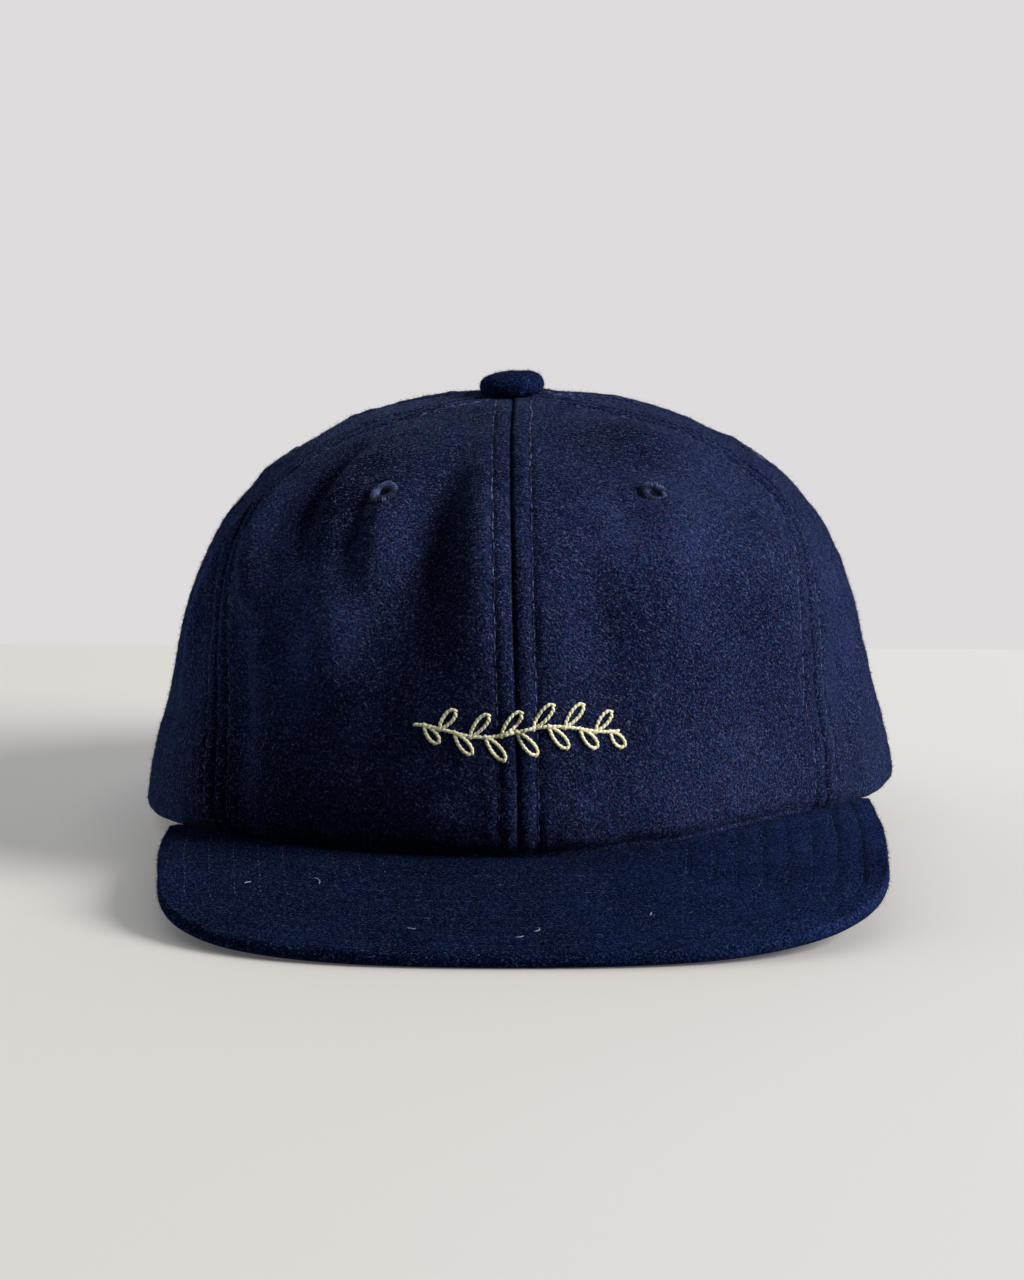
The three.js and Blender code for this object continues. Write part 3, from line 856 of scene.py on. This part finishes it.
def work_eyelet(panel, azimuth, share, seed):
    sides = COLUMNS_PER_THREAD * THREADS
    ring = add(bpy.ops.mesh.primitive_torus_add, "eyelet_" + panel, major_radius=TORUS_RADIUS,
               minor_radius=0.5, major_segments=sides, minor_segments=len(EYELET_SECTION))
    x, y, z = read_points(ring).T
    turn = np.arctan2(y, x)
    round_tube = np.arctan2(z, np.hypot(x, y) - TORUS_RADIUS) / (2 * np.pi)
    section = np.round(round_tube * len(EYELET_SECTION)).astype(int)
    radius, height = EYELET_SECTION[section % len(EYELET_SECTION)].T
    thread = np.round(turn / (2 * np.pi) * sides).astype(int) % sides // COLUMNS_PER_THREAD
    within = np.abs((turn / (2 * np.pi) * THREADS + 0.4) % 1 - 0.5) * 2
    random = np.random.default_rng(seed)
    reach = random.normal(0, 0.3, THREADS)[thread] * np.clip((radius - 2) / 1.5, 0, 1) * (height > -0.1)
    swell = np.where(height > -0.4, 0.34 * np.sqrt(np.clip(1 - within ** 2, 0, 1)) - 0.14, 0)
    tall = random.normal(0, 0.1, THREADS)[thread] * (height > 0.1)
    radius = radius + reach + swell * (radius - 2.4) / 2
    height = height + swell + tall
    outward = crown_outward(azimuth, share)
    right = unit(np.cross([0, 0, 1], outward))
    up = np.cross(outward, right)
    middle = crown_point(azimuth, share) + outward * (soft_marks(azimuth, share, FOLDS) - 0.2)
    pinch = 1 - 0.4 * np.clip((2.3 - radius) / 1.1, 0, 1)
    slit = np.radians(SLIT_TURN)
    long_way, short_way = radius * np.cos(turn - slit), radius * np.sin(turn - slit) * pinch
    across = long_way * np.cos(slit) - short_way * np.sin(slit)
    along = (long_way * np.sin(slit) + short_way * np.cos(slit)) * EYELET_STRETCH
    place_points(ring, middle + across[:, None] * right + along[:, None] * up + height[:, None] * outward)
    finish_piece(ring, eyelet_thread)
    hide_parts(panel.replace("_", "_eyelet_"))
    print(ring.name, len(ring.data.polygons), "faces")


for seed, (panel, spot) in enumerate(EYELETS.items()):
    work_eyelet(panel, *spot, seed)

# %% [markdown]
# ## The brim
#
# The brim is a stiff board between two layers of wool, sewn through in rows that follow its edge,
# with its inner margin tucked under the front of the crown. One grid wraps round the whole section:
# over the top, round the soft edge and back below. Its two long sides meet at the tucked margin and
# are merged, and the narrow ends are closed with a face.

# %% Work out the brim's section
BRIM_HALF_WIDTH = 87.4
BRIM_WIDEST = -107.8
BRIM_SQUARENESS = 2.57
BRIM_THICKNESS = 3.8
BRIM_END_AZIMUTH = 64.0
BRIM_END_WIDTH = 1.5
BRIM_TUCK = 5.5
BRIM_FRONT_PART = 0.8
BRIM_BULGE = 1.2
# along the brim's outline: where its ends taper, and by how much
TAPER_START = 0.93
TAPER = 0.6
# round its section, from the edge inwards: the rounded part, and where the tuck starts
EDGE_PART = 0.16
TUCK_START = 0.94
BRIM_EDGE_HEIGHTS = np.array([
    # share from the tip, left, right
    (0, 0.0, 0.0), (0.25, 0.2, 0.6), (0.5, 0.9, 2.6), (0.75, 3.0, 6.0), (1, 7.2, 10.4),
])
BRIM_ROWS = 6.4 + 6.0 * np.arange(9)
edge_left, edge_right = (ruler(BRIM_EDGE_HEIGHTS, column) for column in (1, 2))


def brim_seat(part, outside):
    """Where the brim passes under the crown's wall, so far outside the wall's face."""
    azimuth = part * BRIM_END_AZIMUTH
    outward = crown_outward(azimuth, 0.0)
    outward[..., 2] = 0
    return crown_point(azimuth, 0.0) + unit(outward) * outside - np.array([0, 0, 0.3])


def brim_edge(part):
    """The upper edge of the brim, from the left end (-1) round the tip (0) to the right end (1)."""
    side = np.where(part < 0, -1, 1)
    share = np.minimum(np.abs(part) / BRIM_FRONT_PART, 1)
    angle = share * np.pi / 2
    power = 2 / BRIM_SQUARENESS
    height = np.where(side < 0, edge_left(share), edge_right(share)) + BRIM_THICKNESS
    point = np.stack([
        side * BRIM_HALF_WIDTH * np.sin(angle) ** power + BRIM_SHIFT,
        BRIM_WIDEST + (BRIM_WIDEST + BRIM_TIP) * -np.maximum(np.cos(angle), 0) ** power,
        height], -1)
    back = np.maximum((np.abs(part) - BRIM_FRONT_PART) / (1 - BRIM_FRONT_PART), 0)[..., None]
    edge = point * (1 - back) + brim_seat(side * 1.0, BRIM_END_WIDTH) * back
    edge[..., 0] += side * BRIM_BULGE * np.sin(np.pi * back[..., 0])
    return edge


def brim_section(part, around):
    """A point of the brim's skin. Around runs from 0 at the tuck over the top to 0.5 and back below."""
    inner = brim_seat(part, -BRIM_TUCK)
    seat = brim_seat(part, BRIM_END_WIDTH / 2)
    edge = brim_edge(part)
    outward = edge - seat
    outward[..., 2] = 0
    reach = np.linalg.norm(outward, axis=-1)
    outward = unit(outward)
    at_end = np.clip((np.abs(part) - TAPER_START) / (1 - TAPER_START), 0, 1)
    half = BRIM_THICKNESS / 2 * (1 - TAPER * at_end ** 2)
    rounding = np.minimum(half, reach * 0.5)[..., None]
    flat_end = edge - outward * rounding
    below = around > 0.5
    from_edge = np.abs(around - 0.5) * 2
    turn = np.clip(from_edge / EDGE_PART, 0, 1)[..., None] * np.pi / 2
    flat = np.clip((from_edge - EDGE_PART) / (TUCK_START - EDGE_PART), 0, 1)[..., None]
    tuck = np.clip((from_edge - TUCK_START) / (1 - TUCK_START), 0, 1)[..., None]
    skin = flat_end * (1 - flat) + seat * flat
    skin = skin * (1 - tuck) + inner * tuck
    skin = skin + outward * rounding * np.cos(turn)
    skin[..., 2] += half * np.where(below, -1, 1) * np.sin(turn[..., 0]) - half
    return skin


def rounded_across(across):
    """Evenly spread columns, closer where the brim turns back to the crown."""
    part = across * 2 - 1
    return part * (0.87 + 0.13 * part ** 2)


print("the brim's tip stands", -brim_edge(np.array([0.0]))[0, 1], "mm before the crown's axis")

# %% Shape the brim
brim = flat_cloth("brim_cloth", 250, 116)
across, around, _ = read_points(brim).T
part = rounded_across(across)
around = around - 0.06 / (2 * np.pi) * np.sin(4 * np.pi * around)
last = around > 0.9999
skin = brim_section(part, np.where(last, 0.0, around))
edge_line = brim_edge(np.linspace(-1, 1, 900))[:, :2]


def edge_distance(points):
    """How far each point lies from the brim's outline."""
    return np.array([np.hypot(*(edge_line - point).T).min() for point in points[:, :2]])


on_top = (around < 0.5) & (around > 0.02) & ~last
distance = edge_distance(skin)
quilting = np.zeros(len(skin))
for row in BRIM_ROWS:
    quilting -= (0.22 + 0.16 * skin[:, 0] / BRIM_HALF_WIDTH) * bell(distance - row, 0.9)
quilting += 0.14 * (distance > 3)
skin[:, 2] += np.where(on_top & (distance < BRIM_ROWS[-1] + 4), quilting, 0)
skin[:, 2] += np.where(on_top, 0.14 * unevenness(skin, 21, 5) + 0.06 * unevenness(skin, 5, 6), 0)
skin[:, 2] = np.maximum(skin[:, 2], 0)
place_points(brim, skin)
bpy.ops.object.mode_set(mode="EDIT")
bpy.ops.mesh.select_all(action="SELECT")
bpy.ops.mesh.remove_doubles(threshold=1e-6)
bpy.ops.mesh.select_mode(type="EDGE")
bpy.ops.mesh.select_all(action="DESELECT")
bpy.ops.mesh.select_non_manifold()
bpy.ops.mesh.fill()
turn_outward()
finish_piece(brim, brim_wool, smooth_below=55)
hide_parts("brim")
print("brim", len(brim.data.polygons), "faces")

# %% Sew the brim's rows
def brim_row(distance):
    """Points of a line that keeps one distance from the brim's outline, left to right."""
    fine = brim_edge(np.linspace(-0.97, 0.97, 1500))
    along = np.gradient(fine[:, :2], axis=0)
    inward = unit(np.stack([-along[:, 1], along[:, 0]], -1))
    line = fine[:, :2] + inward * distance
    far = edge_distance(line) > distance - 0.1
    crown_turn = np.degrees(np.arctan2(line[:, 0] - CROWN_SHIFT, -line[:, 1]))
    clear = np.hypot(*line.T) > radius_at(crown_turn, 0.0) + 1.2
    return line[far & clear]


def walk(line):
    """How far along a line each of its points lies."""
    return np.concatenate([[0], np.cumsum(np.hypot(*np.diff(line, axis=0).T))])


def spots_along(line, reach):
    """The places that lie so far along a line."""
    walked = walk(line)
    return np.stack([np.interp(reach, walked, line[:, axis]) for axis in (0, 1)], -1)


def brim_top(spot):
    """The point of the brim's upper face at a place, and the way that it faces there."""
    above = Vector((spot[0] * MM + crown_axis[0], spot[1] * MM + crown_axis[1], 0.05))
    _, where, out, _ = brim.ray_cast(above, Vector((0, 0, -1)))
    return (np.array(where) - crown_axis) / MM, np.array(out)


starts, ends, outs = [], [], []
for line in map(brim_row, BRIM_ROWS):
    if len(line) < 20:
        continue
    for step in np.arange(0.5, walk(line)[-1] - 3, STITCH_PITCH):
        start, out = brim_top(spots_along(line, step))
        end, _ = brim_top(spots_along(line, step + 0.74 * STITCH_PITCH))
        if np.linalg.norm(start - end) < STITCH_PITCH * 1.2:
            starts.append(start)
            ends.append(end)
            outs.append(out)
sew("stitches_brim", np.array(starts), np.array(ends), np.array(outs), 0.34, 0.28, brim_thread,
    sunk=0.08)

# %% [markdown]
# ## The button
#
# The top button is a metal blank covered in the same wool, gathered underneath and set a little
# askew. A ball is pressed into the section of a low cushion, then tilted.

# %% Cover the button
BUTTON_RADIUS = 8.25
BUTTON_HEIGHT = 5.8
BUTTON_TILT = 4.0
GATHERS = 17
BUTTON_SECTION = np.array([
    # way round from the bottom, radius share, height share
    (0, 0, 0), (0.18, 0.62, 0.0), (0.3, 0.86, 0.06), (0.42, 0.98, 0.25), (0.5, 1.0, 0.42),
    (0.6, 0.965, 0.63), (0.72, 0.82, 0.84), (0.85, 0.5, 0.965), (1, 0, 1),
])
ball_points, ball_faces = ball(72, 40, 1)
x, y, z = ball_points.T
way = np.arccos(np.clip(-z, -1, 1)) / np.pi
turn = np.arctan2(y, x)
radius = ruler(BUTTON_SECTION, 1)(way) * BUTTON_RADIUS
height = ruler(BUTTON_SECTION, 2)(way) * BUTTON_HEIGHT
radius *= 1 - 0.02 * (np.cos(GATHERS * turn) + 1) * bell(way - 0.3, 0.13)
shape = np.stack([radius * np.cos(turn), radius * np.sin(turn), height], -1)
shape[:, 2] += 0.08 * unevenness(shape, 6, 8) * bell(way - 0.8, 0.35)
tilt = np.radians(BUTTON_TILT)
shape[:, 0], shape[:, 2] = (shape[:, 0] * np.cos(tilt) - shape[:, 2] * np.sin(tilt),
                            shape[:, 2] * np.cos(tilt) + shape[:, 0] * np.sin(tilt))
shape += (TOP_LEAN + CROWN_SHIFT, 0, CROWN_HEIGHT + 0.1)
button = new_piece("button_cloth", shape, ball_faces)
# the button's nap is made paler all over, one even tone
paint_tone_and_light(button, 0.55)
finish_piece(button, brim_wool)
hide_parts("top_button")
print("button", len(button.data.polygons), "faces")

# %% [markdown]
# ## The embroidery
#
# A small piece of pale yellow embroidery sits low on the front, a plain sprig of leaves: one long
# stem and a leaf to each side in turn, drawn in a single line of overlapping stitches. It is laid
# out flat in millimetres and then wrapped on the cloth.

# %% Draw the sprig
SPRIG_LENGTH = 49.0
SPRIG_MIDDLE = (-0.9, 34.0)
SPRIG_PITCH = 1.15
LEAVES = 13
LEAF_LENGTH = 7.4
LEAF_HALF_WIDTH = 1.35
LEAF_ANGLE = 52


def stem_at(along):
    """The stem's wavy line, along from -0.5 to 0.5."""
    return np.stack([along * SPRIG_LENGTH, 1.3 * np.sin(along * 9.5)], -1)


sprig_lines = [stem_at(np.linspace(-0.5, 0.5, 200))]
for leaf in range(LEAVES):
    at = (leaf + 0.6) / LEAVES - 0.5
    tilt = (1 if leaf % 2 else -1) * np.radians(LEAF_ANGLE)
    length = LEAF_LENGTH * (1 - 1.3 * at * at)
    t = np.linspace(0, 1, 60)
    breadth = LEAF_HALF_WIDTH * np.sin(2 * np.pi * t) * np.sin(np.pi * t) ** 0.6
    outline = np.stack([length * (1 - np.cos(2 * np.pi * t)) / 2, breadth], -1)
    spun = outline @ np.array([[np.cos(tilt), np.sin(tilt)], [-np.sin(tilt), np.cos(tilt)]])
    sprig_lines.append(stem_at(at) + spun)
print("sprig of", LEAVES, "leaves")


# %% Embroider the sprig
def on_front(flat):
    """Wraps flat points, in millimetres from the foot of the centre seam, on the front of the crown."""
    share = flat[:, 1] / CROWN_ARC
    azimuth = np.degrees(flat[:, 0] / radius_at(0.0, share))
    dip = np.minimum(seam_relief(azimuth, share) + 0.35, 0)
    outward = crown_outward(azimuth, share)
    return cloth_point(azimuth, share) - outward * dip[:, None], outward


starts, ends, outs = [], [], []
for line in sprig_lines:
    length = walk(line)[-1]
    spots = spots_along(line, np.linspace(0, length, int(length / SPRIG_PITCH) + 2)) + SPRIG_MIDDLE
    ways = unit(np.gradient(spots, axis=0))
    lean = np.stack([-ways[:, 1], ways[:, 0]], -1) * 0.26
    first, out = on_front(spots - ways * 0.8 - lean)
    second, _ = on_front(spots + ways * 0.8 + lean)
    starts.append(first)
    ends.append(second)
    outs.append(out)
starts, ends, outs = (np.concatenate(part) for part in (starts, ends, outs))
sew("sprig_embroidery", starts, ends, outs, 0.98, 0.9, motif_thread, sunk=-0.14)

# %% [markdown]
# ## The nap
#
# What makes melton soft is its nap: short fibres that stand off the felt in every direction and
# blur its outline. A hair system would do it, but it can't leave Blender as a mesh. Here each fibre
# is a closed spike of four triangles. Their roots are drawn by chance, with a fixed seed, from the
# cloth's own faces, more on large faces than on small ones.

# %% Mix the colours of the nap
NAP_COLOURS = [
    # name, colour, share
    ("nap_dark", (0.0045, 0.0075, 0.028), 0.46),
    ("nap_blue", (0.018, 0.027, 0.088), 0.45),
    ("nap_pale", (0.10, 0.125, 0.24), 0.09),
]
BRIM_NAP_SHADE = 0.6


def mix_nap(name, colour):
    made, tree = new_finish(name)
    dress(tree, Base_Color=(*colour, 1), Roughness=0.9, Specular_IOR_Level=0.0, IOR=1.02)
    return made


def nap_set(prefix, shade):
    """The three finishes of a nap, all made darker by the same shade."""
    return [mix_nap(prefix + name, [shade * part for part in colour]) for name, colour, _ in NAP_COLOURS]


crown_nap = nap_set("", 1.0)
brim_nap = nap_set("brim_", BRIM_NAP_SHADE)
print("nap finishes:", len(crown_nap) + len(brim_nap))


# %% Grow the nap
def grow_nap(name, cloth, outer, count, seed, longest=1.5, finishes=crown_nap):
    """Sets so many fibres on a piece, on the faces whose points are all outer ones."""
    random = np.random.default_rng(seed)
    mesh = cloth.data
    mesh.calc_loop_triangles()
    corners = np.empty(3 * len(mesh.loop_triangles), dtype=np.int32)
    mesh.loop_triangles.foreach_get("vertices", corners)
    corners = corners.reshape(-1, 3)
    corners = corners[outer[corners].all(1)]
    points = (read_points(cloth) - crown_axis) / MM
    a, b, c = points[corners].transpose(1, 0, 2)
    cross = np.cross(b - a, c - a)
    area = np.linalg.norm(cross, axis=1)
    chosen = random.choice(len(corners), count, p=area / area.sum())
    u, v = random.random((2, count))
    flip = u + v > 1
    u, v = np.where(flip, 1 - u, u), np.where(flip, 1 - v, v)
    roots = a[chosen] + (b - a)[chosen] * u[:, None] + (c - a)[chosen] * v[:, None]
    out = unit(cross)[chosen]
    sideways = unit(np.cross(out, random.normal(size=(count, 3))))
    rise = np.radians(np.where(random.random(count) < 0.25, random.uniform(30, 75, count),
                               random.uniform(6, 28, count)))
    ways = unit(sideways * np.cos(rise)[:, None] + out * np.sin(rise)[:, None])
    lengths = random.uniform(0.5, longest, count) * np.where(random.random(count) < 0.06, 1.5, 1)
    kinds = random.choice(len(NAP_COLOURS), count, p=[share for _, _, share in NAP_COLOURS])
    widths = np.where(kinds == 2, 0.10, 0.075) * random.uniform(0.7, 1.3, count)
    tips = roots + ways * lengths[:, None]
    keep = tips[:, 2] > 0.15
    roots, ways, widths, tips, out, kinds = (part[keep] for part in (roots, ways, widths, tips, out, kinds))
    roots = roots - out * 0.05
    one = unit(np.cross(ways, random.normal(size=ways.shape))) * widths[:, None] / 2
    two = np.cross(ways, one)
    ring = np.stack([roots + one, roots - one * 0.5 + two * 0.87, roots - one * 0.5 - two * 0.87, tips], 1)
    first = np.arange(len(roots))[:, None, None] * 4
    faces = (first + np.array([(0, 2, 1), (0, 1, 3), (1, 2, 3), (2, 0, 3)])).reshape(-1, 3)
    piece = new_piece(name, ring.reshape(-1, 3), faces.tolist())
    for material in finishes:
        piece.data.materials.append(material)
    piece.data.polygons.foreach_set("material_index", np.repeat(kinds, 4).astype(np.int32))
    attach(piece, "root")
    print(name, len(roots), "fibres")


NAP_COUNTS = {"front_left": 19000, "front_right": 19000, "side_left": 14000, "side_right": 14000,
              "back_left": 10000, "back_right": 10000}
for seed, (panel, count) in enumerate(NAP_COUNTS.items()):
    cloth, outer = cloth_pieces[panel]
    grow_nap("nap_" + panel, cloth, outer, count, 100 + seed)
brim_out = np.empty(3 * len(brim.data.vertices), dtype=np.float32)
brim.data.vertices.foreach_get("normal", brim_out)
grow_nap("nap_brim", brim, brim_out.reshape(-1, 3)[:, 2] > -0.6, 26000, 200,
         finishes=brim_nap)
grow_nap("nap_button", button, np.ones(len(button.data.vertices), bool), 1500, 201, longest=1.2,
         finishes=brim_nap)

# %% [markdown]
# ## Lint
#
# Wool picks up hairs. A few pale ones lie on the brim, each a thin bent tube with three sides that
# ends in a point.

# %% Drop a few hairs on the brim
LINT = [
    # right of the middle, from the crown's axis, length, turned, bent
    (-48.5, -113.5, 6.0, 100, 70), (2.5, -149.0, 4.0, 60, 110), (-24.0, -147.0, 3.0, 150, -60),
    (-1.5, -152.5, 2.6, 20, 80), (30.0, -138.0, 2.2, 75, 40), (-66.0, -112.0, 2.4, 40, -70),
]
LINT_WIDTH = 0.26
RINGS_PER_HAIR = 9
points, faces = [], []
for x, y, length, turned, bent in LINT:
    t = np.linspace(-0.5, 0.5, RINGS_PER_HAIR)
    angles = np.radians(turned + bent * t)
    steps = np.stack([np.cos(angles), np.sin(angles)], -1)
    line = np.cumsum(steps, axis=0) * length / RINGS_PER_HAIR + (x, y)
    for spot, angle, thick in zip(line, angles, 1 - (2 * t) ** 6 * 0.9):
        middle = brim_top(spot)[0] + (0, 0, 0.35)
        for side in np.radians((90, 210, 330)):
            way = (-np.sin(angle) * np.cos(side), np.cos(angle) * np.cos(side), np.sin(side))
            points.append(middle + np.array(way) * LINT_WIDTH / 2 * thick)
    first = len(points) - 3 * RINGS_PER_HAIR
    for ring in range(RINGS_PER_HAIR - 1):
        for k in range(3):
            a, b = first + 3 * ring + k, first + 3 * ring + (k + 1) % 3
            faces.append((a, a + 3, b + 3, b))
    faces += [(first, first + 1, first + 2), (len(points) - 1, len(points) - 2, len(points) - 3)]
lint = new_piece("lint", np.array(points), faces)
finish_piece(lint, mix_thread("lint_fibre", (0.22, 0.25, 0.38), (0.42, 0.46, 0.6), 0.7, 0.1))
print("lint", len(LINT), "hairs")
